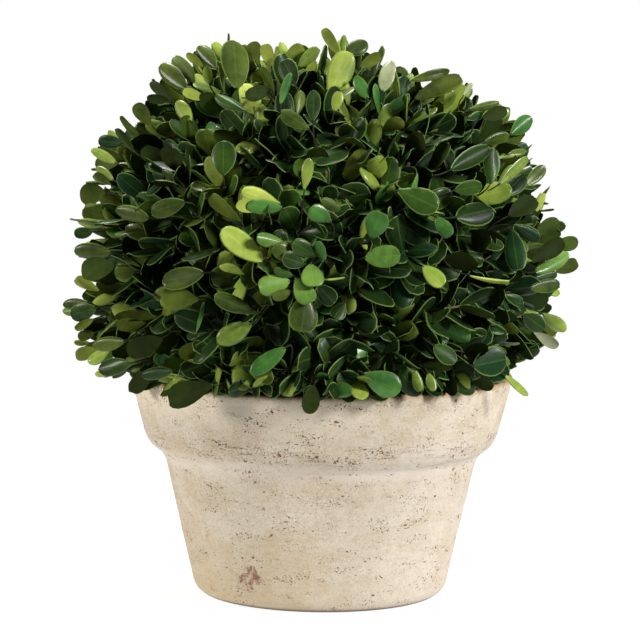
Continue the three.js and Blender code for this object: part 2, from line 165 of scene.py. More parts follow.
# Leaves that stand out in the photograph, each by its root and tip pixel and its width in pixels.
# Each shows its face where the row names nothing else. One that shines faces between camera and light.
CHOSEN_LEAVES = (
    # root across, root down, tip across, tip down, width, kind, what shows other than the face
    # The top
    (237, 88, 234, 40, 27, "olive", "shines"), (225, 58, 227, 33, 7, "deep", "edge"),
    (226, 62, 214, 41, 11, "young"), (216, 68, 197, 45, 15, "olive"),
    (204, 67, 187, 54, 8, "young", "under"), (194, 81, 176, 53, 17, "olive", "shines"),
    (186, 89, 158, 63, 17, "olive"), (168, 101, 147, 98, 9, "deep", "under"),
    (168, 99, 151, 82, 10, "deep", "under"), (209, 84, 207, 66, 9, "bright"),
    (205, 99, 183, 91, 10, "bright", "under"), (246, 111, 215, 92, 13, "mid", "shines"),
    (191, 121, 175, 100, 14, "young"), (259, 62, 252, 43, 14, "olive", "under"),
    (271, 66, 265, 45, 12, "young", "under"), (288, 60, 279, 41, 8, "bright"),
    (286, 64, 302, 45, 14, "young", "under"), (299, 67, 319, 48, 12, "young"),
    (339, 54, 324, 29, 10, "young", "under"), (343, 54, 345, 34, 7, "young"),
    (346, 53, 368, 41, 16, "olive"), (329, 91, 355, 52, 27, "young"),
    (361, 67, 380, 54, 11, "young", "under"), (383, 91, 393, 59, 15, "pale", "shines"),
    (295, 84, 283, 60, 18, "deep"), (281, 104, 292, 72, 8, "fresh"),
    (270, 88, 245, 98, 14, "mid", "under"), (309, 129, 282, 110, 15, "olive", "shines"),
    (313, 120, 314, 88, 14, "mid"), (304, 190, 309, 158, 11, "young"),
    (334, 111, 340, 91, 11, "young"), (368, 98, 355, 76, 12, "fresh"),
    (412, 80, 450, 71, 10, "olive"), (415, 99, 461, 79, 17, "olive", "under"),
    (463, 96, 473, 83, 5, "pale"), (469, 109, 501, 102, 8, "olive"),
    (482, 117, 506, 110, 13, "deep", "under"),
    # The left half
    (152, 126, 136, 105, 14, "olive", "under"), (134, 152, 116, 130, 8, "deep", "under"),
    (120, 145, 108, 129, 8, "young"), (122, 143, 98, 141, 13, "blue"),
    (116, 163, 90, 150, 10, "bright"), (113, 180, 96, 166, 9, "young"),
    (111, 185, 94, 175, 9, "olive", "under"), (105, 192, 81, 196, 21, "olive", "under"),
    (104, 204, 85, 209, 6, "young", "edge"), (104, 226, 70, 223, 6, "olive", "edge"),
    (104, 225, 76, 222, 9, "young"), (92, 232, 74, 234, 11, "mid"),
    (110, 253, 73, 252, 16, "olive"), (114, 266, 82, 271, 22, "mid", "under"),
    (99, 291, 76, 279, 11, "young", "under"), (87, 303, 61, 305, 11, "olive"),
    (84, 312, 61, 311, 9, "young"), (95, 308, 69, 317, 17, "mid"),
    (93, 319, 76, 329, 8, "young", "under"), (94, 333, 78, 337, 10, "olive", "under"),
    (90, 343, 74, 342, 6, "young"), (97, 350, 76, 356, 13, "young", "under"),
    (110, 350, 86, 361, 13, "bright"), (124, 341, 90, 347, 14, "olive"),
    (132, 363, 96, 370, 17, "mid"), (112, 373, 94, 373, 7, "bright"),
    (127, 370, 112, 379, 6, "olive"), (148, 371, 132, 392, 16, "deep", "under"),
    (172, 371, 141, 376, 12, "mid"), (162, 338, 128, 352, 19, "deep", "under"),
    (213, 385, 170, 401, 25, "deep", "under"), (223, 175, 223, 140, 24, "mid"),
    (280, 204, 241, 191, 15, "bright"), (282, 208, 247, 205, 14, "fresh"),
    (262, 206, 235, 206, 13, "bright", "under"), (263, 261, 222, 229, 23, "bright", "shines"),
    (284, 243, 257, 237, 13, "light", "shines"), (203, 273, 161, 281, 21, "olive"),
    (198, 300, 161, 300, 24, "olive", "under"), (251, 324, 216, 342, 20, "young"),
    (255, 313, 215, 295, 17, "olive"), (184, 202, 150, 213, 17, "olive"),
    (148, 218, 113, 212, 15, "olive"), (285, 348, 251, 373, 16, "fresh"),
    # The middle
    (290, 281, 259, 288, 20, "light", "shines"), (311, 264, 314, 286, 21, "light", "shines"),
    (296, 277, 311, 302, 19, "light", "shines"), (293, 276, 275, 270, 9, "mid"),
    (291, 291, 272, 300, 11, "olive", "under"), (316, 256, 294, 243, 15, "mid"),
    (325, 261, 317, 242, 9, "fresh"), (304, 264, 283, 257, 16, "deep"),
    (322, 279, 345, 276, 5, "bright", "edge"), (318, 286, 334, 303, 17, "deep"),
    (345, 303, 334, 317, 15, "deep"), (299, 258, 274, 247, 17, "olive"),
    (331, 222, 311, 209, 17, "fresh"), (306, 296, 302, 332, 27, "olive", "shines"),
    (341, 211, 323, 200, 10, "olive"), (365, 258, 400, 255, 21, "light", "shines"),
    (372, 238, 380, 212, 22, "fresh"), (423, 266, 444, 285, 16, "bright", "shines"),
    (364, 374, 400, 393, 25, "fresh"), (314, 386, 308, 414, 17, "deep", "under"),
    # The right half
    (398, 190, 438, 207, 24, "mid", "shines"), (436, 217, 450, 236, 14, "fresh"),
    (457, 217, 495, 207, 24, "deep"), (455, 190, 482, 186, 14, "mid"),
    (452, 169, 491, 147, 17, "deep"), (485, 142, 510, 136, 11, "olive"),
    (511, 134, 534, 118, 16, "fresh"), (508, 155, 527, 149, 8, "olive"),
    (491, 184, 494, 147, 17, "mid"), (500, 184, 530, 155, 10, "young"),
    (505, 194, 525, 172, 18, "deep"), (527, 185, 545, 166, 12, "olive"),
    (509, 216, 536, 200, 18, "deep", "under"), (536, 212, 544, 193, 8, "bright"),
    (514, 225, 540, 241, 14, "blue"), (536, 234, 558, 221, 15, "mid", "under"),
    (532, 262, 562, 241, 17, "deep", "under"), (512, 230, 518, 269, 20, "blue"),
    (536, 272, 570, 250, 16, "light"), (554, 246, 578, 242, 14, "mid", "under"),
    (556, 272, 577, 262, 13, "olive", "under"), (536, 278, 558, 274, 9, "mid"),
    (543, 314, 566, 333, 14, "young"), (524, 314, 546, 331, 17, "deep"),
    (534, 332, 557, 346, 11, "pale", "under"), (474, 366, 508, 359, 28, "blue"),
    (434, 346, 458, 360, 17, "mid", "shines"), (505, 375, 528, 396, 7, "bright"),
    (470, 275, 510, 279, 6, "bright", "edge"), (531, 288, 561, 284, 13, "olive"),
    (414, 368, 419, 392, 10, "young"), (428, 373, 434, 391, 10, "young"),
)
CHOSEN_ROOT_INSIDE = 8
CHOSEN_TIP_INSIDE = 1.5
CHOSEN_PAIR = -1
CHOSEN_IDS = 9600
FLAT_FORMS = 8  # the chosen leaves take the flattest of the forms

UP = np.array([0.0, 0.0, 1.0])
RIGHT = np.array([1.0, 0.0, 0.0])
KEY_PLACE = np.array([1150.0, -950.0, 850.0])
LIGHTS = (
    # name, place, power, colour
    ("key", KEY_PLACE, 29, (1.0, 0.99, 0.965)),
    ("top", (-200, 420, 1320), 23, (1.0, 0.985, 0.93)),
    ("left", (-1400, -450, 500), 14.5, (1.0, 0.975, 0.92)),
    ("right_edge", (1300, 350, 600), 7, (1.0, 0.99, 0.98)),
)
LIGHT_SIZE = 350
LIGHTS_AIM = 140  # the height they point at
ROOM_LIGHT = 0.095
FLOOR_SIDE = 520
FLOOR_WHOLE = 150  # the floor is whole to here, and has faded away further out
FLOOR_GONE = 500

centre = np.array([0.0, 0.0, BALL_CENTRE])


# Numbers by rule

def chance(index, kind):
    """The same number from 0 to 1 for the same pair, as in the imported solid's source."""
    s = np.sin(index * 12.9898 + kind * 78.233 + 3.7) * 43758.5453
    return s - np.floor(s)


def vary(index, kind, most):
    return (chance(index, kind) * 2 - 1) * most


def unit(v):
    return v / np.linalg.norm(v, axis=-1, keepdims=True)


def length_of(v):
    return np.linalg.norm(v, axis=-1)


def held(value):
    """The value, held between 0 and 1."""
    return np.clip(value, 0, 1)


def stack(*values):
    """Arrays side by side along a new last axis."""
    return np.stack(values, axis=-1)


def strays(index, kinds, most):
    """A vector of small numbers by rule, one for each kind."""
    return stack(*[vary(index, kind, most) for kind in kinds])


def around(radius, turn, height):
    """Places at a radius, a turn about the Z axis and a height."""
    return stack(radius * np.cos(turn), radius * np.sin(turn), height + 0 * turn)


def direction(azimuth, elevation):
    return around(np.cos(elevation), azimuth, np.sin(elevation))


def swung(turn, side, other):
    """Vectors at a turn from one side towards the other."""
    return np.cos(turn)[:, None] * side + np.sin(turn)[:, None] * other


def full_turn(count):
    return np.arange(count) / count * 2 * np.pi


def curve(t, a, b, c):
    """A quadratic curve from a to c, pulled towards b."""
    return (1 - t) ** 2 * a + 2 * t * (1 - t) * b + t**2 * c


def nearness(d, aim, spread):
    """From 0 to 1 by how near each direction is to an aim, over a spread in degrees."""
    away = np.arccos(np.clip(d @ aim, -1, 1)) / math.radians(spread)
    return np.exp(-away * away)


def reach(d):
    """How far the clipped ball reaches from its centre along unit vectors."""
    across = np.hypot(d[..., 0], d[..., 1]) / BALL_HALF_WIDTH
    up = np.abs(d[..., 2]) / BALL_HALF_HEIGHT
    r = (across**BALL_SQUARENESS + up**BALL_SQUARENESS) ** (-1 / BALL_SQUARENESS)
    for azimuth, elevation, rise, spread in TUFTS:
        aim = direction(math.radians(azimuth), math.radians(elevation))
        r = r + rise * nearness(d, aim, spread)
    return r


def camera_turn():
    aim = Euler((math.radians(90 - CAMERA_PITCH), 0, math.radians(CAMERA_YAW))).to_matrix()
    roll = Euler((0, 0, math.radians(CAMERA_ROLL))).to_matrix()
    return aim @ roll


camera_place = np.array([0.0, -CAMERA_DISTANCE, CAMERA_HEIGHT])
camera_axes = np.array(camera_turn())


def sight(across, down):
    """The unit vector of the line of sight through a pixel of the photograph."""
    middle = PHOTO_SIZE / 2
    scale = SENSOR / FOCAL_LENGTH / PHOTO_SIZE
    return unit(camera_axes @ np.array([(across - middle) * scale, (middle - down) * scale, -1.0]))


def seen_at(across, down, inside=0.0):
    """Where the line of sight through a pixel first comes this far inside the ball's reach."""
    # From 160 mm before the plant's axis to 40 mm past it
    steps = CAMERA_DISTANCE + np.arange(-160, 40, 0.5)
    places = camera_place + steps[:, None] * sight(across, down)
    from_centre = places - centre
    depth = reach(unit(from_centre)) - length_of(from_centre)
    inner = np.nonzero(depth >= inside)[0]
    # A line that passes outside gives its nearest place
    return places[inner[0] if len(inner) else int(np.argmax(depth))]


def value_noise(points, size, seed):
    """Smooth noise from -1 to 1, with lumps of about the given size."""
    p = points / size + seed * 17.13
    cell = np.floor(p)
    f = p - cell
    f = f * f * (3 - 2 * f)
    total = 0
    for corner in np.ndindex(2, 2, 2):
        c = cell + corner
        s = np.sin(c @ np.array([12.9898, 78.233, 37.719]) + seed) * 43758.5453
        weight = np.prod(np.where(corner, f, 1 - f), axis=-1)
        total = total + weight * (s - np.floor(s))
    return total * 2 - 1


def layered_noise(points, size, seed, layers=3):
    total = sum(value_noise(points, size / 2**k, seed + k) / 2**k for k in range(layers))
    return total / sum(1 / 2**k for k in range(layers))


# Meshes

def add_object(name, data):
    made = bpy.data.objects.new(name, data)
    bpy.context.collection.objects.link(made)
    return made


def mesh_object(name, places, faces, materials, face_materials=None, sharp_angle=None):
    """An object from places in millimetres and a list of arrays of faces."""
    mesh = bpy.data.meshes.new(name)
    loops = np.concatenate([f.ravel() for f in faces]).astype(np.int32)
    sizes = np.concatenate([np.full(len(f), f.shape[1]) for f in faces]).astype(np.int32)
    mesh.vertices.add(len(places))
    mesh.vertices.foreach_set("co", (np.asarray(places) * MM).astype(np.float32).ravel())
    mesh.loops.add(len(loops))
    mesh.loops.foreach_set("vertex_index", loops)
    mesh.polygons.add(len(sizes))
    mesh.polygons.foreach_set("loop_start", (np.cumsum(sizes) - sizes).astype(np.int32))
    mesh.polygons.foreach_set("loop_total", sizes)
    if face_materials is not None:
        mesh.polygons.foreach_set("material_index", face_materials.astype(np.int32))
    mesh.polygons.foreach_set("use_smooth", np.ones(len(sizes), bool))
    for material in materials:
        mesh.materials.append(material)
    mesh.update(calc_edges=True)
    mesh.validate()
    if sharp_angle:
        mesh.set_sharp_from_angle(angle=math.radians(sharp_angle))
    return add_object(name, mesh)


def grid_faces(rows, columns, closed):
    """Quads between rows of places, with the last column joined to the first where closed."""
    j, i = np.mgrid[0 : rows - 1, 0 : columns - (0 if closed else 1)]
    a = j * columns + i
    b = j * columns + (i + 1) % columns
    return stack(a, b, b + columns, a + columns).reshape(-1, 4)


def closed_faces(rows, columns):
    """Quads round a grid, and triangles from its first and last row to the two places that follow it."""
    i = np.arange(columns)
    j = (i + 1) % columns
    foot = rows * columns
    last = foot - columns
    caps = [stack(j, i, 0 * i + foot), stack(last + i, last + j, 0 * i + foot + 1)]
    return [grid_faces(rows, columns, True), np.concatenate(caps)]


def tube(path, radii, sides):
    """The places and faces of a closed tube with a cone at its far end."""
    along = unit(np.gradient(path, axis=0))
    side = np.cross(along[0], UP if abs(along[0][2]) < 0.9 else RIGHT)
    rings = []
    turn = full_turn(sides)
    for p, t, r in zip(path, along, radii):
        side = unit(side - t * (side @ t))
        other = np.cross(t, side)
        rings.append(p + r * swung(turn, side, other))
    places = np.concatenate(rings + [path[:1], path[-1:] + along[-1:] * radii[-1]])
    return places, *closed_faces(len(path), sides)


def joined(pieces):
    """The places of many pieces in a row, with each piece's quads and triangles on its own places."""
    places, *kinds = zip(*pieces)
    starts = np.cumsum([0] + [len(p) for p in places])
    faces = [np.concatenate([f + start for f, start in zip(kind, starts)]) for kind in kinds]
    return np.concatenate(places), faces


def bend(a, b, c, steps):
    return curve(np.linspace(0, 1, steps + 1)[:, None], *map(np.asarray, (a, b, c)))


# Materials

def add_node(tree, kind, inputs=None, **settings):
    """A node with its settings, and with values or links in its inputs."""
    made = tree.nodes.new(kind)
    for name, value in settings.items():
        setattr(made, name, value)
    for name, value in (inputs or {}).items():
        if isinstance(value, bpy.types.NodeSocket):
            tree.links.new(value, made.inputs[name])
        else:
            made.inputs[name].default_value = value
    return made


class Shader:
    """A material with the Principled shader, and short ways to add nodes to it."""

    def __init__(self, name, roughness, gloss=0.2, **settings):
        self.material = bpy.data.materials.new(name)
        self.material.use_nodes = True
        self.tree = self.material.node_tree
        self.principled = self.tree.nodes["Principled BSDF"]
        self.place = self.node("TexCoord")["Object"]
        settings.update(Roughness=roughness, Specular_IOR_Level=gloss)
        for socket, value in settings.items():
            self.principled.inputs[socket.replace("_", " ")].default_value = value

    def node(self, kind, inputs=None, **settings):
        """The outputs of a new node."""
        return add_node(self.tree, "ShaderNode" + kind, inputs, **settings).outputs

    def stretched(self, x, y, z):
        """The place, stretched along an axis by a factor under 1."""
        return self.node("VectorMath", {0: self.place, 1: (x, y, z)}, operation="MULTIPLY")[0]

    def noise(self, size, place=None, detail=3.0, roughness=0.55, distortion=0.0):
        """Noise from 0 to 1 with lumps of about the given size in millimetres."""
        inputs = {
            "Vector": place or self.place,
            "Scale": 1 / (size * MM),
            "Detail": detail,
            "Roughness": roughness,
            "Distortion": distortion,
        }
        return self.node("TexNoise", inputs)[0]

    def between(self, value, low, high, to_low=0.0, to_high=1.0):
        """The value's stretch from low to high, spread out smoothly."""
        inputs = {"Value": value, 1: low, 2: high, 3: to_low, 4: to_high}
        return self.node("MapRange", inputs, interpolation_type="SMOOTHSTEP")[0]

    def math(self, operation, a, b=0.0):
        return self.node("Math", {0: a, 1: b}, operation=operation)[0]

    def plus(self, a, b):
        return self.math("ADD", a, b)

    def times(self, a, b):
        return self.math("MULTIPLY", a, b)

    def near(self, value, middle, close, away, most, least):
        """The most where the value is close to the middle, and the least where it is further away."""
        distance = self.math("ABSOLUTE", self.math("SUBTRACT", value, middle))
        return self.between(distance, close, away, most, least)

    def mix(self, share, a, b):
        colors = [(*c, 1) if isinstance(c, tuple) else c for c in (a, b)]
        return self.node("Mix", {"Factor": share, 6: colors[0], 7: colors[1]}, data_type="RGBA")[2]

    def link(self, socket, value):
        self.tree.links.new(value, self.principled.inputs[socket])

    def bump(self, height, depth, strength=1.0):
        """Relief of the given depth in millimetres where the height goes from 0 to 1."""
        inputs = {"Height": height, "Distance": depth * MM, "Strength": strength}
        self.link("Normal", self.node("Bump", inputs)[0])


def specks(s, size, level, crowding):
    """Ragged specks where fine noise is high, from 0 to 1, and more of them where they crowd."""
    fleck = s.noise(size, s.stretched(1, 1, 1.5), 3, 0.62)
    return s.between(s.plus(fleck, s.times(crowding, 0.22)), level, level + 0.035)


def pits(s, size, share, low, high, crowding):
    """Ragged pits, one in a chosen share of the cells, from 0 to 1 and more where they crowd."""
    # Fine noise moves the places about, so that the pits have ragged edges
    shake = s.node("TexNoise", {"Vector": s.place, "Scale": 1 / (0.9 * MM), "Detail": 3.0})["Color"]
    shake = s.node("VectorMath", {0: shake, 3: 1.6 * MM}, operation="SCALE")[0]
    ragged = s.node("VectorMath", {0: s.place, 1: shake}, operation="ADD")[0]
    cells = s.node("TexVoronoi", {"Vector": ragged, "Scale": 1 / (size * MM)})
    # A cell's own draw gives its pit's width, down to none
    draw = s.node("SeparateColor", {0: cells["Color"]})[0]
    chosen = s.between(s.plus(draw, crowding), 1.0 - share, 1.45 - share)
    inside = s.math("SUBTRACT", s.plus(s.times(chosen, high), low), cells["Distance"])
    return s.times(s.between(inside, 0.0, 0.06), s.between(chosen, 0.0, 0.12))


def clay_material():
    """Cream limewashed clay with stains, a brushed grain, level scratches, brown pits in runs, and painted
    light and shade.
    """
    s = Shader("limewashed_clay", 0.92)
    split = s.node("SeparateXYZ", {0: s.place})
    across, height = split["X"], split["Z"]
    wash = s.noise(26, s.stretched(1, 1, 2.2), 6, 0.6)
    stain = s.noise(22, s.stretched(1.2, 1, 1.4), 6, 0.6, 0.5)
    drips = s.noise(9, s.stretched(1, 1, 0.2), 4, 0.6)
    grain = s.noise(0.7, None, 5, 0.8)
    brushed = s.noise(1.6, s.stretched(0.12, 0.12, 1), 4, 0.7)
    mottle = s.noise(3.2, s.stretched(1, 1, 1.3), 5, 0.7)
    uneven_height = s.plus(height, s.times(mottle, 0.004))
    at_edge = s.near(height, 0.0785, 0.002, 0.007, 1.0, 0.1)
    scratches = s.times(s.between(brushed, 0.57, 0.65), at_edge)
    # Specks and pits crowd in level runs
    runs = s.between(s.noise(15, s.stretched(1, 1, 3.0), 5, 0.65), 0.38, 0.66, -0.23, 0.34)
    runs = s.plus(runs, s.between(at_edge, 0.2, 1.0, 0.0, 0.14))
    fine = specks(s, 0.9, 0.65, runs)
    middling = specks(s, 1.8, 0.68, runs)
    coarse = pits(s, 4.2, 0.2, 0.05, 0.22, runs)
    cream, lime, tan = (0.56, 0.47, 0.345), (0.67, 0.6, 0.505), (0.42, 0.32, 0.205)
    layers = (
        (s.between(wash, 0.4, 0.62, 0.0, 0.6), lime),
        (s.between(stain, 0.5, 0.7, 0.0, 0.28), tan),
        (s.between(mottle, 0.48, 0.66, 0.0, 0.4), tan),
        (s.between(mottle, 0.32, 0.46, 0.4, 0.0), lime),
        (s.between(drips, 0.48, 0.68, 0.0, 0.38), lime),
        (s.between(grain, 0.5, 0.68, 0.0, 0.6), (0.36, 0.26, 0.16)),
        (s.between(grain, 0.32, 0.5, 0.55, 0.0), (0.8, 0.75, 0.66)),
        # Scratches at the band's lower edge, and fainter ones elsewhere
        (s.times(scratches, 0.42), (0.2, 0.13, 0.08)),
        # Painted light: the wash is lighter and whiter to the right, below the band, where the key light
        # falls
        (s.times(s.between(across, -0.005, 0.05, 0.0, 0.3), s.between(height, 0.07, 0.095, 1.0, 0.1)),
         (0.56, 0.51, 0.465)),
        # Painted light: a pale ring in the corner under the band lifts the shade that falls there
        (s.near(height, 0.0695, 0.001, 0.0065, 0.38, 0.0), (0.84, 0.77, 0.68)),
        # Darker and browner towards the foot, and more so to the left
        (s.times(s.between(height, 0.004, 0.052, 0.44, 0.0), s.between(across, -0.05, 0.03, 1.2, 0.2)),
         (0.46, 0.34, 0.18)),
        # Painted contact shadow: a dark line along the very bottom of the foot
        (s.between(height, 0.0006, 0.003, 0.95, 0.0), (0.1, 0.075, 0.055)),
        # Painted light: the band is lighter under the leaves on the left, lifting the shadow they cast there
        (s.times(s.between(height, 0.084, 0.1, 0.0, 0.52), s.between(across, 0.0, 0.04, 1.0, 0.0)),
         (0.88, 0.77, 0.6)),
        # What runs off the leaves has stained the lip
        (s.between(uneven_height, 0.1055, 0.1085, 0.0, 0.7), (0.34, 0.2, 0.09)),
        (s.times(fine, 0.88), (0.18, 0.085, 0.035)),
        (s.times(middling, 0.85), (0.15, 0.06, 0.025)),
        (s.times(coarse, 0.9), (0.2, 0.065, 0.035)),
    )
    tone = cream
    for share, color in layers:
        tone = s.mix(share, tone, color)
    s.link("Base Color", tone)
    raised = s.plus(s.times(grain, 0.3), s.times(brushed, 0.15))
    sunk = s.plus(s.plus(s.times(fine, 0.5), s.plus(middling, coarse)), s.times(scratches, 0.4))
    s.bump(s.math("SUBTRACT", raised, sunk), 0.4, 0.8)
    return s.material


def scar_material():
    """Bare reddish clay where the wash has come off, with a pale crust left in it."""
    s = Shader("bare_clay", 0.95)
    patches = s.between(s.noise(3.0, None, 5, 0.75), 0.42, 0.6)
    tone = s.mix(patches, (0.24, 0.125, 0.08), (0.49, 0.36, 0.26))
    s.link("Base Color", s.mix(s.between(s.noise(1.4, None, 4, 0.7), 0.55, 0.66), tone, (0.6, 0.52, 0.43)))
    s.bump(s.noise(1.2, None, 4), 0.5, 0.9)
    return s.material


def soil_material():
    s = Shader("potting_soil", 0.95)
    lumps = s.noise(4, None, 6, 0.7)
    s.link("Base Color", s.mix(s.between(lumps, 0.35, 0.7), (0.012, 0.008, 0.005), (0.065, 0.042, 0.026)))
    s.bump(s.noise(1.4, None, 5, 0.7), 0.8)
    return s.material


def bark_material(name, dark, light, size):
    s = Shader(name, 0.8, 0.3)
    cracks = s.noise(size, s.stretched(1, 1, 0.35), 5, 0.65)
    s.link("Base Color", s.mix(s.between(cracks, 0.35, 0.68), dark, light))
    s.bump(cracks, size * 0.2, 0.9)
    return s.material


def leaf_material(name, dark, light, roughness, sheen=0.0, relief=0.12, gloss=0.12):
    """A leaf's surface: two tones in broad patches with a finer mottle, over faint dimples."""
    s = Shader(name, roughness, gloss, Coat_Weight=sheen, Coat_Roughness=0.2)
    broad = s.between(s.noise(24, None, 1), 0.36, 0.64, 0.0, 0.72)
    fine = s.between(s.noise(3.5, None, 4, 0.6), 0.36, 0.64, 0.0, 0.28)
    s.link("Base Color", s.mix(s.plus(broad, fine), dark, light))
    s.bump(s.noise(1.1, None, 3, 0.6), relief, 0.6)
    return s.material


# The camera, the floor and the light

def make_camera():
    camera = bpy.data.cameras.new("camera")
    camera.lens = FOCAL_LENGTH
    camera.sensor_width = SENSOR
    camera.clip_end = 20
    made = add_object("camera", camera)
    made.location = (0, -CAMERA_DISTANCE * MM, CAMERA_HEIGHT * MM)
    made.rotation_euler = camera_turn().to_euler()
    bpy.context.scene.camera = made


def make_studio():
    """A pale floor that fades into a pale room, under soft light from the front right and above."""
    white = (1, 1, 1, 1)
    tones = {"Base_Color": (0.12, 0.12, 0.12, 1), "Emission_Color": white}
    s = Shader("pale_floor", 0.95, 0.1, Emission_Strength=0.93, **tones)
    away = s.node("VectorMath", {0: s.place}, operation="LENGTH")["Value"]
    s.link("Alpha", s.between(away, FLOOR_WHOLE * MM, FLOOR_GONE * MM, 1.0, 0.0))
    corners = FLOOR_SIDE * np.array([(-1, -1, 0), (1, -1, 0), (1, 1, 0), (-1, 1, 0)])
    mesh_object("floor", corners, [np.array([[0, 1, 2, 3]])], [s.material])
    for name, place, power, color in LIGHTS:
        light = bpy.data.lights.new(name, "AREA")
        light.size = LIGHT_SIZE * MM
        light.energy = power
        light.color = color
        made = add_object(name, light)
        made.location = Vector(place) * MM
        aim = Vector((0, 0, LIGHTS_AIM)) * MM - made.location
        made.rotation_euler = aim.to_track_quat("-Z", "Y").to_euler()
    world = bpy.data.worlds.new("studio")
    bpy.context.scene.world = world
    world.use_nodes = True
    tree = world.node_tree
    room = tree.nodes["Background"]
    room.inputs["Color"].default_value = white
    room.inputs["Strength"].default_value = ROOM_LIGHT
    seen = add_node(tree, "ShaderNodeBackground", {"Color": white})
    to_camera = add_node(tree, "ShaderNodeLightPath").outputs["Is Camera Ray"]
    mix = add_node(tree, "ShaderNodeMixShader", {0: to_camera, 1: room.outputs[0], 2: seen.outputs[0]})
    tree.links.new(mix.outputs[0], tree.nodes["World Output"].inputs[0])
    bpy.context.scene.view_settings.view_transform = "Standard"


# The pot

def body_radius(height):
    slope = (BODY_RADIUS - FOOT_RADIUS) / (POT_HEIGHT - RIM_BAND_HEIGHT)
    return FOOT_RADIUS + slope * height


def band_radius(height):
    return RIM_RADIUS - RIM_BAND_TAPER * (POT_HEIGHT - height)


def wall_inside(height):
    low = FLOOR + FLOOR_CORNER
    share = (height - low) / (POT_HEIGHT - LIP_ROUNDING - low)
    inside_low = body_radius(low) - WALL
    return inside_low + (RIM_RADIUS - WALL - inside_low) * share


def pot_profile():
    """The solid's profile of (radius, height), as a closed line of close points."""
    step = POT_HEIGHT - RIM_BAND_HEIGHT
    edge = step + BAND_EDGE_HEIGHT
    lip = POT_HEIGHT - LIP_ROUNDING
    bevel = FLOOR + FLOOR_CORNER
    inner_lip, inner_low = wall_inside(lip), wall_inside(bevel)
    under_band = (body_radius(step), step)
    corner = (band_radius(edge) - BAND_EDGE_CORNER[0], edge - BAND_EDGE_CORNER[1])
    # The corner under the band is filled a little with wash
    fillet_high = ((under_band[0] + corner[0]) / 2, (under_band[1] + corner[1]) / 2)
    # Each part's end, and its steps: their length, or their number on the way round a corner
    parts = (
        ((FOOT_RADIUS - FOOT_ROUNDING, 0), 5),
        ((body_radius(FOOT_ROUNDING), FOOT_ROUNDING), 12, (FOOT_RADIUS, 0)),
        ((body_radius(step - BAND_FILLET), step - BAND_FILLET), 1.05),
        (fillet_high, 8, under_band),
        ((band_radius(edge), edge), 14, corner),
        ((band_radius(lip), lip), 1.05),
        ((RIM_RADIUS - LIP_ROUNDING, POT_HEIGHT), 6, (RIM_RADIUS, POT_HEIGHT)),
        ((inner_lip + LIP_ROUNDING, POT_HEIGHT), 1),
        ((inner_lip, lip), 5, (inner_lip, POT_HEIGHT)),
        ((wall_inside(SOIL_TOP), SOIL_TOP), 1.5),
        ((inner_low, bevel), 12),
        ((inner_low - FLOOR_CORNER, FLOOR), 3),
        ((DRAIN_RADIUS, FLOOR), 10),
    )
    profile = np.array([(DRAIN_RADIUS, 0.0)])
    for end, steps, *corners in parts:
        start = profile[-1]
        if corners:
            more = bend(start, corners[0], end, steps)
        else:
            more = np.linspace(start, end, max(1, round(math.dist(start, end) / steps)) + 1)
        profile = np.concatenate([profile, more[1:]])
    return profile


SCAR_ANGLE = math.radians(-121)  # the bare patch low on the front left
SCAR_HEIGHT = 15.5
SCAR_PATCHES = ((1.6, 1.8, 4.6), (-3.6, -0.6, 3.6), (-1.5, -4.2, 3.4))  # across, up and radius of each patch
SCAR_DEPTH = 0.75
PIT_COUNT = 150
OUTSIDE_SHARE = 0.8  # of the profile's points


def pot_relief(places, height, outside):
    """How far the worn surface stands off the turned shape, in millimetres."""
    relief = 0.4 * layered_noise(places, 70, 1) + 0.17 * layered_noise(places * (1, 1, 2.5), 16, 2)
    relief += 0.06 * value_noise(places, 2.6, 5)
    worn = held(layered_noise(places, 9, 7) - 0.12)
    relief -= 1.3 * worn * np.exp(-(((height - POT_HEIGHT) / 2.2) ** 2))
    edge = POT_HEIGHT - RIM_BAND_HEIGHT + 5
    relief -= 1.5 * worn * np.exp(-(((height - edge) / 4) ** 2))
    # Turning marks
    relief += 0.05 * np.sin(height * 1.9 + 2 * value_noise(places, 40, 9))
    # Larger pits
    for i in range(PIT_COUNT):
        angle = chance(i, 41) * 2 * math.pi
        z = 6 + chance(i, 42) * (POT_HEIGHT - 9)
        radius = 0.9 + 1.2 * chance(i, 43) ** 2
        r = band_radius(z) if z > edge + 1 else body_radius(z)
        away = length_of(places - around(r, angle, z)) / radius
        relief -= 0.45 * np.exp(-away * away)
    return np.where(outside, relief, relief * 0.5)


def scar_share(places):
    """From 0 to 1 over the ragged bare patch, which is a few patches that meet."""
    middle = around(body_radius(SCAR_HEIGHT), SCAR_ANGLE, SCAR_HEIGHT)
    tangent = around(1, SCAR_ANGLE + math.pi / 2, 0)
    away = np.inf
    for across, up, size in SCAR_PATCHES:
        patch = middle + tangent * across + UP * up
        away = np.minimum(away, length_of(places - patch) / size)
    ragged = away + 0.75 * layered_noise(places, 3.6, 21)
    return held((1.0 - ragged) / 0.25)


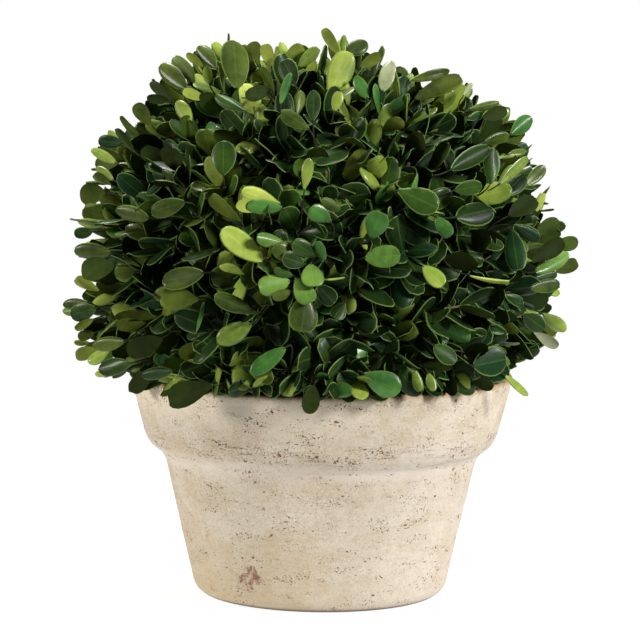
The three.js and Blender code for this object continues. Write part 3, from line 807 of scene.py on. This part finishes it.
def make_pot():
    profile = pot_profile()
    turn = full_turn(POT_COLUMNS)
    r, z = profile[:, :1], profile[:, 1:]
    places = around(r, turn, z)
    slope = np.roll(profile, -1, axis=0) - np.roll(profile, 1, axis=0)
    outward = unit(stack(slope[:, 1], -slope[:, 0]))
    normal = around(outward[:, :1], turn, outward[:, 1:])
    outside = (np.arange(len(profile)) < len(profile) * OUTSIDE_SHARE)[:, None]
    # The underside stays flat, and the inside keeps clear of the soil
    keeps = held(z / 4) * np.where((r < wall_inside(z) + 1) & (z < SOIL_TOP + 1), 0, 1)
    scar = scar_share(places)
    relief = pot_relief(places, z, outside) * keeps
    relief = relief - SCAR_DEPTH * scar * (1 + 0.5 * value_noise(places, 1.7, 23))
    places = places + normal * relief[..., None]
    # The profile's last row joins its first
    faces = grid_faces(len(profile) + 1, POT_COLUMNS, True) % (len(profile) * POT_COLUMNS)
    bare = (scar > 0.45).reshape(-1)[faces].mean(axis=1) > 0.6
    materials = [clay_material(), scar_material()]
    pot = mesh_object("pot", places.reshape(-1, 3), [faces], materials, bare.astype(int))
    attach(pot, "root")
    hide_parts("clay_pot")


# The soil and the stem

def make_soil():
    rings, columns = 60, 150
    wall = wall_inside(SOIL_TOP)
    r = (np.linspace(0.004, 1, rings) * (wall - SOIL_CLEARANCE))[:, None]
    flat = around(r, full_turn(columns), 0 * r)
    x, y = flat[..., 0], flat[..., 1]
    away = np.hypot(x, y)
    heaped = SOIL_TOP + SOIL_CROWNING * (1 - (away / wall) ** 2)
    under_stem = np.exp(-((away / (STEM_RADIUS + STEM_FLARE + 4)) ** 4))
    rough = 1.7 * layered_noise(flat, 9, 31, 4) * (1 - under_stem)
    top = stack(x, y, heaped + rough - SOIL_UNDER_STEM * under_stem)
    low = stack(x, y, 0 * x + SOIL_TOP - SOIL_DEPTH)[-1:]
    ends = [[0, 0, SOIL_TOP + SOIL_CROWNING - SOIL_UNDER_STEM], [0, 0, SOIL_TOP - SOIL_DEPTH]]
    places = np.concatenate([np.concatenate([top, low]).reshape(-1, 3), ends])
    soil = mesh_object("soil_bed", places, closed_faces(rings + 1, columns), [soil_material()])
    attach(soil, "root")
    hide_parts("soil")


def make_stem(bark):
    rings, columns = 40, 48
    share = np.linspace(0, 1, rings)[:, None]
    turn = full_turn(columns)
    radius = STEM_RADIUS * (1 - STEM_TAPER * share) + STEM_FLARE * (1 - share) ** 3
    radius = radius * (1 + STEM_RIB_DEPTH * (1 - share) * np.cos(STEM_RIBS * turn))
    z = STEM_FOOT + share * (STEM_TOP - STEM_FOOT)
    skin = around(radius, turn, z)
    cracks = np.abs(layered_noise(skin * (1, 1, 0.3), 3.2, 51))
    radius = radius - 0.9 * (1 - held(cracks * 4)) + 0.3 * value_noise(skin, 5, 53)
    places = around(radius, turn, z)
    places[..., :2] += share[..., None] * STEM_LEAN
    places = np.concatenate([places.reshape(-1, 3), [[0, 0, STEM_FOOT], [*STEM_LEAN, STEM_TOP]]])
    stem = mesh_object("stem_bark", places, closed_faces(rings, columns), [bark], sharp_angle=50)
    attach(stem, "root")
    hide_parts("stem")


# The growth: boughs, twigs and shoots

def twig_rule():
    """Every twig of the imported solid: its direction, foot, axis and turn."""
    i = np.arange(TWIGS)
    up = 1 - (i + 0.5) / TWIGS * (1 - LOWEST_TWIG)
    elevation = np.arcsin(np.clip(up + vary(i, 3, 0.02), -1, 1))
    d = direction(GOLDEN_ANGLE * i + vary(i, 2, 0.1), elevation)
    foot = centre + d * (reach(d) * CORE_SHARE - TWIG_IN_CORE)[:, None]
    along = d + strays(i, (4, 5, 6), TWIG_STRAYING)
    along[:, 2] += np.maximum(0, LIFTED_BELOW - d[:, 2]) * LIFT
    return d, foot, unit(along), chance(i, 7) * 2 * math.pi


def frame_of(axis):
    """Two unit vectors square to each axis and to each other."""
    helper = np.where(np.abs(axis[:, 2:]) < 0.9, UP, RIGHT)
    side = unit(np.cross(helper, axis))
    return side, np.cross(axis, side)


def lower_edge(places):
    """How low the leaves hang: higher to the right, and higher in front."""
    right, front = places[..., 0], held(-places[..., 1] / FRONT_FROM - 1)
    lowest = LOWEST_LEAF + np.maximum(EDGE_RISE * right, FRONT_RISE * front)
    return np.maximum(lowest, SIDE_RISE[0] + SIDE_RISE[1] * right)


def near_pixel(d, across, down, spread):
    return nearness(d, unit(seen_at(across, down) - centre), spread)


def dip(d):
    """How far the shoots stay back in the hollows."""
    return sum(most * near_pixel(d, across, down, spread) for across, down, most, spread in HOLLOWS)


def shoot_rule(twigs):
    """The finer shoots, in a small ring round each twig's line, and a row that leans out over the rim."""
    d, foot, along, spin = twigs
    side, other = frame_of(along)
    made = []
    for k in range(SHOOTS_PER_TWIG):
        index = np.arange(TWIGS) * 31 + k
        turn = spin + k * 2 * math.pi / SHOOTS_PER_TWIG + vary(index, 60, 0.35)
        ring = swung(turn, side, other)
        lean = (SHOOT_SPREAD * (1 + vary(index, 61, 0.3)))[:, None] * ring
        start = foot - along * (2 + 6 * chance(index, 63))[:, None]
        to = unit(d + lean)
        to[:, 2] += np.maximum(0, LIFTED_BELOW - to[:, 2]) * 0.35
        to = unit(to)
        inside = TIP_INSIDE + 9 * chance(index, 64) ** 2 - 6 * (chance(index, 65) > 0.93) + dip(to)
        tip = centre + to * (reach(to) - inside)[:, None]
        length = length_of(tip - start)[:, None]
        fan = SHOOT_FAN * to * (1, 0, 0.7)
        outward = unit(along + lean * 0.5 + strays(index, (66, 67, 68), 0.16))
        made.append((start, start + (outward * 0.55 - fan) * length, tip, index))
    index = RIM_IDS + np.arange(RIM_SHOOTS)
    turn = (np.arange(RIM_SHOOTS) + vary(index, 60, 0.4)) * 2 * math.pi / RIM_SHOOTS
    out = around(1, turn, 0)
    # Some of them hang over the rim, and fewer do so at the ball's widest sides
    hang = (chance(index, 66) < 0.75) * held(1.6 * np.abs(np.sin(turn)) - 0.5)
    hang = hang * (1 - 0.8 * held(1.5 * np.cos(turn) - 0.2))
    high = RIM_SHOOT_TIP[1] + 8 * chance(index, 64) - 2 * hang
    # The ball is cut in over the rim on the right
    cut = held(4 * np.cos(turn) - 3)
    pull = out * (RIM_SHOOT_PULL + 8 * hang)[:, None] + UP * (high + 8)[:, None]
    wide = RIM_SHOOT_TIP[0] + 4 * chance(index, 65) + 9 * hang - 5 * cut
    tip = out * wide[:, None] + UP * high[:, None]
    made.append((out * RIM_SHOOT_ROOT[0] + UP * RIM_SHOOT_ROOT[1], pull, tip, index))
    starts, pulls, tips, ids = [np.concatenate(a) for a in zip(*made)]
    tips[:, 2] = np.maximum(tips[:, 2], lower_edge(tips) + 5)
    return starts, pulls, tips, ids


def make_wood(twigs, shoots, bark, young_bark):
    """The boughs from the stem's tip, the twigs on them, and the shoots on the twigs."""
    d, foot, along, _ = twigs
    i = np.arange(BOUGHS)
    bough_aim = direction(GOLDEN_ANGLE * i, np.arcsin(0.97 - 1.15 * (i + 0.5) / BOUGHS))
    root = np.array([*STEM_LEAN, STEM_TOP + 0.3])
    boughs = [bend(root, root + (0, 0, 22), centre + aim * BOUGH_REACH, 14) for aim in bough_aim]
    tubes = [tube(path, np.linspace(*BOUGH_RADII, len(path)), 9) for path in boughs]
    for t in range(TWIGS):
        # On the outer half of the bough that points its way
        path = boughs[int(np.argmax(bough_aim @ d[t]))]
        start = path[7 + int(7 * chance(t, 71))]
        twig = bend(start, foot[t] - along[t] * 18, foot[t] + along[t] * 14, 9)
        tubes.append(tube(twig, np.linspace(*TWIG_RADII, len(twig)), 6))
    wood = mesh_object("boughs_and_twigs", *joined(tubes), [bark])
    radii = np.linspace(*SHOOT_RADII, 7)
    tubes = [tube(bend(start, pull, tip, 6), radii, 5) for start, pull, tip, _ in zip(*shoots)]
    fine = mesh_object("shoots", *joined(tubes), [young_bark])
    for piece in (wood, fine):
        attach(piece, "root")
    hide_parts("foliage_ball")


# The leaves

RIB_SHARE = 0.07  # half the midrib's width, as a share of half the leaf's
FINE_ROWS = (0.0, 0.1, 0.25, 0.43, 0.61, 0.78, 0.90, 0.97)
PLAIN_ROWS = (0.0, 0.25, 0.53, 0.78, 0.94)
FINE_COLUMNS = (-1.0, -0.6, -RIB_SHARE, RIB_SHARE, 0.6, 1.0)
PLAIN_COLUMNS = (-1.0, 0.0, 1.0)

# What is known of each leaf: its root, its two axes, its length, its shoot, its pair from the tip, its number
LEAF_FIELDS = ("root", "long", "face", "size", "shoot", "pair", "index")


def leaf_curl(index):
    return vary(index, 83, 0.38) - 0.35


def leaf_shape(index, rows, columns):
    """One box leaf of length 1 along +Y with its upper face to +Z: its places, faces and parts.
    Parts are 0 for the upper face, 1 for the underside, 2 for the pale margin and 3 for the midrib."""
    fullness = 0.5 + vary(index, 81, 0.07)
    widest = 0.595 + vary(index, 82, 0.07)
    curl = leaf_curl(index)
    cup = vary(index, 84, 0.22) - 0.26
    fold = 0.05 + 0.06 * chance(index, 85)
    twist = vary(index, 86, 0.35)
    wave = vary(index, 87, 0.02)
    width = LEAF_WIDTH * (1 + vary(index, 88, 0.13))
    notch = 0.03 * chance(index, 89)
    base = widest / (1 - widest) * fullness
    peak = widest**base * (1 - widest) ** fullness
    s = np.array(rows)[:, None]
    u = np.array(columns)[None, :]

    def lay(s, u, lift, spread):
        half = width / 2 * s**base * (1 - s) ** fullness / peak
        half = np.maximum(half, 0.022) + spread
        x = u * half
        h = cup * np.abs(u) ** 1.7 * half - fold * np.exp(-((u / 0.22) ** 2)) * half
        h = h + wave * u * np.sin(s * 7)
        angle = twist * s
        x, h = x * np.cos(angle) - h * np.sin(angle), x * np.sin(angle) + h * np.cos(angle)
        arc = s * curl
        y = np.sin(arc) / curl - notch * s**6 * np.exp(-((u / 0.35) ** 2))
        bow = (1 - np.cos(arc)) / curl
        laid = stack(x, y - np.sin(arc) * (h + lift), np.cos(arc) * (h + lift) + bow)
        return laid.reshape(-1, 3)

    thick = LEAF_THICKNESS / LEAF_LENGTH
    tip, middle = np.array([[1.0]]), np.array([[0.0]])
    top = [lay(s, u, 0, 0), lay(tip, middle, 0, 0)]
    low = [lay(s, u, -thick, thick * 1.3), lay(tip, middle, -thick, 0) + (0, thick * 1.3, 0)]
    n, m = len(rows), len(columns)
    grid = grid_faces(n, m, False)
    i = np.arange(m - 1)
    fan = stack((n - 1) * m + i, (n - 1) * m + i + 1, np.full(m - 1, n * m))
    count = n * m + 1
    left = np.append(np.arange(n) * m, n * m)
    right = np.append(np.arange(n) * m + m - 1, n * m)

    def between_faces(a, b):
        return stack(a, b, b + count, a + count)

    rim = np.concatenate([
        between_faces(right[:-1], right[1:])[:, ::-1],
        between_faces(left[:-1], left[1:]),
        between_faces(i, i + 1)[:, ::-1],
    ])
    quads = np.concatenate([grid, grid[:, ::-1] + count, rim])
    upper = np.zeros(len(grid), int)
    if RIB_SHARE in columns:
        upper[columns.index(-RIB_SHARE) :: m - 1] = 3
    quad_parts = np.concatenate([upper, np.full(len(grid), 1), np.full(len(rim), 2)])
    triangles = np.concatenate([fan, fan[:, ::-1] + count])
    return np.concatenate(top + low), quads, triangles, quad_parts, np.repeat([0, 1], len(fan))


LEAF_FORMS = {
    "fine": [leaf_shape(i, FINE_ROWS, FINE_COLUMNS) for i in range(LEAF_SHAPES)],
    "plain": [leaf_shape(i, PLAIN_ROWS, PLAIN_COLUMNS) for i in range(LEAF_SHAPES)],
}


def leaf_rule(shoots):
    """Every leaf: where its root is, its axes, its length, its shoot and its pair counted from the tip."""
    starts, pulls, tips, ids = shoots
    to = unit(tips - centre)
    # Shoots that the photograph shows end on are open, and the ones to the sides keep their leaves closer
    open_more = 13 * held(-to[:, 1]) ** 2 - 15 * np.abs(to[:, 0]) + vary(ids, 89, 7)
    length = length_of(tips - starts)
    made = []
    for pair in range(PAIRS):
        # Along the shoot's curve, counted back from its tip
        t = np.clip(1 - (2.0 + PAIR_SPACING * pair) / length, 0.02, 1)[:, None]
        root = curve(t, starts, pulls, tips)
        axis = unit(2 * (1 - t) * (pulls - starts) + 2 * t * (tips - pulls))
        side, other = frame_of(axis)
        for half in range(2):
            index = ids * 13 + pair * 2 + half
            turn = chance(ids, 90) * 2 * math.pi + pair * math.pi / 2 + half * math.pi + vary(index, 91, 0.3)
            radial = swung(turn, side, other)
            out = np.radians(24 + 9 * pair - 0.8 * pair**2 + open_more + vary(index, 92, 10))
            long = swung(out, axis, radial)
            # Each blade turns its upper face a little towards the light
            face = swung(out, -radial, axis) + 0.38 * UP + strays(index, (93, 98, 99), 0.24)
            size = LEAF_LENGTH * (0.82 + 0.14 * pair - 0.022 * pair**2) * (1 + vary(index, 94, 0.16))
            size = np.where(ids >= RIM_IDS, 0.82, 1.0) * size
            made.append((root, long, face, size, ids, np.full(len(ids), pair), index))
    return dict(zip(LEAF_FIELDS, map(np.concatenate, zip(*made))))


def inner_rule():
    """Older leaves deep inside, which keep the ball dark between its shoots."""
    i = np.arange(INNER_LEAVES)
    up = 1 - (i + 0.5) / INNER_LEAVES * 1.6
    d = direction(GOLDEN_ANGLE * i + vary(i, 101, 0.4), np.arcsin(up))
    root = centre + d * (reach(d) * (0.5 + 0.17 * chance(i, 102)))[:, None]
    long = unit(d * 0.35 + strays(i, (103, 104, 105), 1.0))
    face = unit(d + 0.4 * strays(i, (106, 107, 108), 1.0))
    size = LEAF_LENGTH * 1.1 * (1 + vary(i, 109, 0.15))
    return dict(zip(LEAF_FIELDS, (root, long, face, size, i, np.full(len(i), PAIRS), i)))


def leaf_axes(long, face):
    long = unit(long)
    face = unit(face - long * np.sum(face * long, axis=1, keepdims=True))
    return np.stack([np.cross(long, face), long, face], axis=1)


def outline_places(leaves, axes):
    """Points over each leaf, on the form it will take."""
    probes = np.stack([form[0][: len(PLAIN_ROWS) * len(PLAIN_COLUMNS) + 1] for form in LEAF_FORMS["plain"]])
    probe = probes[leaves["index"] % LEAF_SHAPES]
    return np.einsum("npk,nkj->npj", probe, axes) * leaves["size"][:, None, None] + leaves["root"][:, None]


def in_the_way(leaves, axes):
    """Which leaves would enter the pot's wall or hang too low, and how far each leaves the ball's reach."""
    places = outline_places(leaves, axes)
    z = places[..., 2]
    away = np.hypot(places[..., 0], places[..., 1])
    in_wall = (away < band_radius(z) + CLEAR_OF_POT) & (away > RIM_RADIUS - WALL - 3.5)
    in_wall &= z < POT_HEIGHT + CLEAR_OF_POT
    from_centre = places - centre
    d = unit(from_centre)
    beyond = length_of(from_centre) - reach(d) + 0.8 * dip(d)
    return (in_wall | (z < lower_edge(places))).any(axis=1), beyond.max(axis=1)


def settle_leaves(leaves):
    """Leaves in the rim's way bend up and far-reaching ones bend in, and the ones that can't are left out."""
    long = leaves["long"].copy()
    for _ in range(5):
        axes = leaf_axes(long, leaves["face"])
        low, beyond = in_the_way(leaves, axes)
        far = beyond > REACH_LIMIT
        long[low] = unit(long[low] + 0.3 * UP)
        long[far] = unit(long[far] + 0.25 * unit(centre - leaves["root"][far]))
    axes = leaf_axes(long, leaves["face"])
    low, beyond = in_the_way(leaves, axes)
    return keep(leaves, axes, ~low & (beyond < REACH_END))


def keep(leaves, axes, kept):
    return {name: values[kept] for name, values in leaves.items()}, axes[kept]


def chosen_rule():
    """The leaves that are placed by pixel, with their axes, which hold their widths."""
    rows, turned = [], []
    flattest = np.argsort(np.abs(leaf_curl(np.arange(LEAF_SHAPES))))[:FLAT_FORMS]
    for number, (x0, y0, x1, y1, width, _, *shows) in enumerate(CHOSEN_LEAVES):
        root = seen_at(x0, y0, CHOSEN_ROOT_INSIDE)
        tip = seen_at(x1, y1, CHOSEN_TIP_INSIDE)
        line = sight(x1, y1)
        # On the steep sides the tip stays near its root's depth
        flat = camera_place + line * ((root - camera_place) @ line)
        most = 0.55 * np.linalg.norm(flat - root)
        tip = flat + line * np.clip((tip - flat) @ line, -most, most)
        toward, stray = -line, 0.25
        if "under" in shows:
            toward = line
        if "shines" in shows:
            toward, stray = unit(unit(KEY_PLACE - root) - line) - 0.4 * line, 0.1
        if "edge" in shows:
            toward = 0.35 * UP - unit(np.cross(line, tip - root))
        toward = toward + stray * strays(number, (121, 122, 123), 1.0)
        shape = int(flattest[number % FLAT_FORMS])
        size = np.linalg.norm(tip - root)
        axes = leaf_axes((tip - root)[None], toward[None])[0]
        natural = LEAF_WIDTH * (1 + vary(shape, 88, 0.13)) * size
        if "edge" not in shows:
            # A turned leaf looks narrower than it is
            natural *= max(0.7, math.sqrt(1 - float(axes[0] @ line) ** 2))
        seen_width = width * SENSOR / FOCAL_LENGTH / PHOTO_SIZE * np.linalg.norm(root - camera_place)
        axes[0] *= seen_width / natural
        index = CHOSEN_IDS + number * LEAF_SHAPES + shape
        rows.append((root, tip - root, toward, size, CHOSEN_IDS + number, CHOSEN_PAIR, index))
        turned.append(axes)
    return dict(zip(LEAF_FIELDS, map(np.array, zip(*rows)))), np.array(turned)


def pixels_of(places):
    """Where places show in the photograph, and how far they are along the line of sight."""
    seen = (places - camera_place) @ camera_axes
    scale = FOCAL_LENGTH / SENSOR * PHOTO_SIZE
    across = PHOTO_SIZE / 2 + seen[..., 0] / -seen[..., 2] * scale
    down = PHOTO_SIZE / 2 - seen[..., 1] / -seen[..., 2] * scale
    return across, down, -seen[..., 2]


def clear_for_chosen(leaves, axes, chosen):
    """Leaves out the ones that would cover or cut a chosen leaf."""
    across, down, depth = pixels_of(outline_places(leaves, axes))
    near = pixels_of(chosen["root"])[2]
    far = pixels_of(chosen["root"] + chosen["long"])[2]
    blocked = np.zeros(len(leaves["root"]), bool)
    for number, (x0, y0, x1, y1, width, *_) in enumerate(CHOSEN_LEAVES):
        length = math.hypot(x1 - x0, y1 - y0)
        ux, uy = (x1 - x0) / length, (y1 - y0) / length
        along = (across - x0) * ux + (down - y0) * uy
        aside = np.abs((down - y0) * ux - (across - x0) * uy)
        over = (along > 0.42 * length) & (along < length - 1) & (aside < width * 0.38)
        here = near[number] + (far[number] - near[number]) * held(along / length)
        blocked |= (over & (depth < here + 2.5)).any(axis=1)
    return keep(leaves, axes, ~blocked)


def leaf_pieces(kind, materials, leaves, axes, which):
    """Joined leaves of one kind, in pieces under the limit on triangles."""
    fine = leaves["pair"] < FINE_PAIRS  # chosen leaves too
    batches, room = [[]], PIECE_TRIANGLES
    for form, grown in (("fine", which & fine), ("plain", which & ~fine)):
        for number, shape in enumerate(LEAF_FORMS[form]):
            found = np.nonzero(grown & (leaves["index"] % LEAF_SHAPES == number))[0]
            triangles = len(found) * (2 * len(shape[1]) + len(shape[2]))
            if triangles > room:
                batches.append([])
                room = PIECE_TRIANGLES
            if len(found):
                batches[-1].append((shape, found))
                room -= triangles
    for count, batch in enumerate(batches, 1):
        join_leaves(f"leaves_{kind}_{count}", batch, leaves, axes, materials)


def join_leaves(name, batch, leaves, axes, materials):
    runs, quad_parts, triangle_parts = [], [], []
    for (shape, quads, triangles, *parts), numbers in batch:
        grown = np.einsum("pk,nkj->npj", shape, axes[numbers]) * leaves["size"][numbers][:, None, None]
        grown += leaves["root"][numbers][:, None]
        starts = (np.arange(len(numbers)) * len(shape))[:, None, None]
        faces = (quads + starts).reshape(-1, 4), (triangles + starts).reshape(-1, 3)
        runs.append((grown.reshape(-1, 3), *faces))
        quad_parts.append(np.tile(parts[0], len(numbers)))
        triangle_parts.append(np.tile(parts[1], len(numbers)))
    parts = np.concatenate(quad_parts + triangle_parts)
    made = mesh_object(name, *joined(runs), materials, parts, sharp_angle=48)
    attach(made, "root")


# The margin is partly the leaf's own pale edge and partly a painted highlight where light catches the edge
MARGIN_TONES = ((0.085, 0.150, 0.030), (0.150, 0.230, 0.050))

# Each kind of leaf: the upper face's two tones and the underside's two tones, in thousandths of full
# red, green and blue, and the upper face's sheen
LEAF_KINDS = {
    "deep": ((6, 17, 4), (21, 48, 10), (16, 25, 5), (34, 53, 10), 0.08),
    "blue": ((5, 22, 7), (16, 58, 16), (13, 26, 7), (30, 55, 10), 0.08),
    "mid": ((9, 27, 5), (41, 95, 12), (19, 35, 6), (53, 90, 13), 0.16),
    "fresh": ((26, 102, 17), (90, 256, 45), (38, 76, 11), (100, 176, 29), 0.32),
    "olive": ((24, 44, 6), (98, 143, 17), (33, 52, 8), (100, 136, 19), 0.22),
    "light": ((75, 170, 27), (200, 370, 58), (70, 120, 20), (180, 260, 42), 0.42),
    "young": ((112, 176, 25), (305, 395, 59), (104, 146, 21), (250, 302, 47), 0.28),
    "bright": ((260, 390, 48), (550, 640, 125), (260, 340, 52), (450, 520, 105), 0.32),
    # pale: a painted sheen, whitish leaves whose colour stands in for the light that they reflect
    "pale": ((220, 250, 120), (440, 470, 290), (140, 160, 80), (280, 300, 180), 0.3),
}


def shade(d):
    """Where the photograph's leaves lie in shade, from 0 to 1, for the painted shade of darker kinds."""
    return held(sum(near_pixel(d, *place) for place in SHADES))


def deal_kinds(leaves):
    """The kind of each leaf, dealt out by shoot: more olive at the top and left, deeper to the right, with
    painted light and shade.
    """
    d = unit(leaves["root"] - centre)
    shoot, index, outermost = leaves["shoot"], leaves["index"], leaves["pair"] == 0
    # The deeper pairs are older; as painted shade they and the shaded places get darker kinds
    paler_where_lit = np.where(outermost, 1.0, 0.65) * (1 - 0.7 * shade(d))
    high, right = held(d[:, 2]), held(d[:, 0])
    # Painted light: more of the light-toned kinds low on the left, where the leaves are lit
    low = held(-d[:, 2] * 2) * (1 - right)
    olive = (0.12 + 0.3 * high**5 + 0.12 * held(-d[:, 0]) + 0.12 * low) * paler_where_lit
    mid = olive + 0.11
    fresh = mid + (0.11 - 0.05 * right) * paler_where_lit
    blue = fresh + 0.14 + 0.12 * right
    draw = (chance(shoot, 95) + vary(index, 99, 0.06)) % 1
    below = [draw < limit for limit in (olive, mid, fresh, blue)]
    kinds = np.select(below, ["olive", "mid", "fresh", "blue"], "deep")
    tips = outermost & (chance(shoot, 96) < (0.18 + 0.38 * high**4 + 0.12 * low) * paler_where_lit)
    kinds = np.where(tips | (chance(index, 97) < 0.07 * paler_where_lit), "young", kinds)
    kinds = np.where(outermost & (chance(shoot, 96) < 0.025), "bright", kinds)
    # Painted light: the inner leaves get the lighter olive and mid kinds, which lift the shade deep in the
    # ball
    inside = np.where(chance(index, 100) < 0.5, "olive", "mid")
    return np.where(leaves["pair"] == PAIRS, inside, kinds)


def both(some, more):
    return {field: np.concatenate([some[field], more[field]]) for field in LEAF_FIELDS}


def make_leaves(shoots, chosen, turned):
    leaves, axes = settle_leaves(both(leaf_rule(shoots), inner_rule()))
    leaves, axes = clear_for_chosen(leaves, axes, chosen)
    kinds = np.concatenate([deal_kinds(leaves), [row[5] for row in CHOSEN_LEAVES]])
    leaves = both(leaves, chosen)
    axes = np.concatenate([axes, turned])
    margin = leaf_material("leaf_margin", *MARGIN_TONES, 0.5, relief=0.05)
    for kind, (*tones, sheen) in LEAF_KINDS.items():
        dark, light, under_dark, under_light = [tuple(c / 1000 for c in tone) for tone in tones]
        rib = [tuple(max(0.78 * a + 0.22 * b, 1.1 * a) for a, b in zip(tone, pale))
               for tone, pale in zip((dark, light), MARGIN_TONES)]
        materials = [
            leaf_material(f"leaf_upper_{kind}", dark, light, 0.42, sheen=sheen),
            leaf_material(f"leaf_under_{kind}", under_dark, under_light, 0.6, gloss=0.05),
            margin,
            leaf_material(f"leaf_rib_{kind}", *rib, 0.5, relief=0.05),
        ]
        leaf_pieces(kind, materials, leaves, axes, kinds == kind)


def make_chosen_stalks(shoots, chosen, green_bark):
    """A thin stalk from each chosen leaf's root to the nearest point deeper on a shoot."""
    along = curve(np.linspace(0, 0.9, 10)[:, None, None], *shoots[:3]).reshape(-1, 3)
    tubes = []
    for root, long in zip(chosen["root"], unit(chosen["long"])):
        deeper = along[length_of(along - centre) < np.linalg.norm(root - centre) - 9]
        joint = deeper[np.argmin(length_of(deeper - root))]
        inward = root - (long + unit(root - centre)) * 0.3 * np.linalg.norm(joint - root)
        tubes.append(tube(bend(joint, inward, root + long * 0.5, 6), np.linspace(*STALK_RADII, 7), 5))
    stalks = mesh_object("chosen_stalks", *joined(tubes), [green_bark])
    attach(stalks, "root")


make_camera()
make_studio()
make_pot()
make_soil()
bark = bark_material("box_bark", (0.05, 0.035, 0.02), (0.20, 0.15, 0.09), 3)
young_bark = bark_material("young_bark", (0.09, 0.10, 0.035), (0.20, 0.18, 0.08), 2)
make_stem(bark)
twigs = twig_rule()
shoots = shoot_rule(twigs)
make_wood(twigs, shoots, bark, young_bark)
chosen, turned = chosen_rule()
make_leaves(shoots, chosen, turned)
green_bark = bark_material("green_bark", (0.015, 0.024, 0.007), (0.035, 0.045, 0.014), 2)
make_chosen_stalks(shoots, chosen, green_bark)
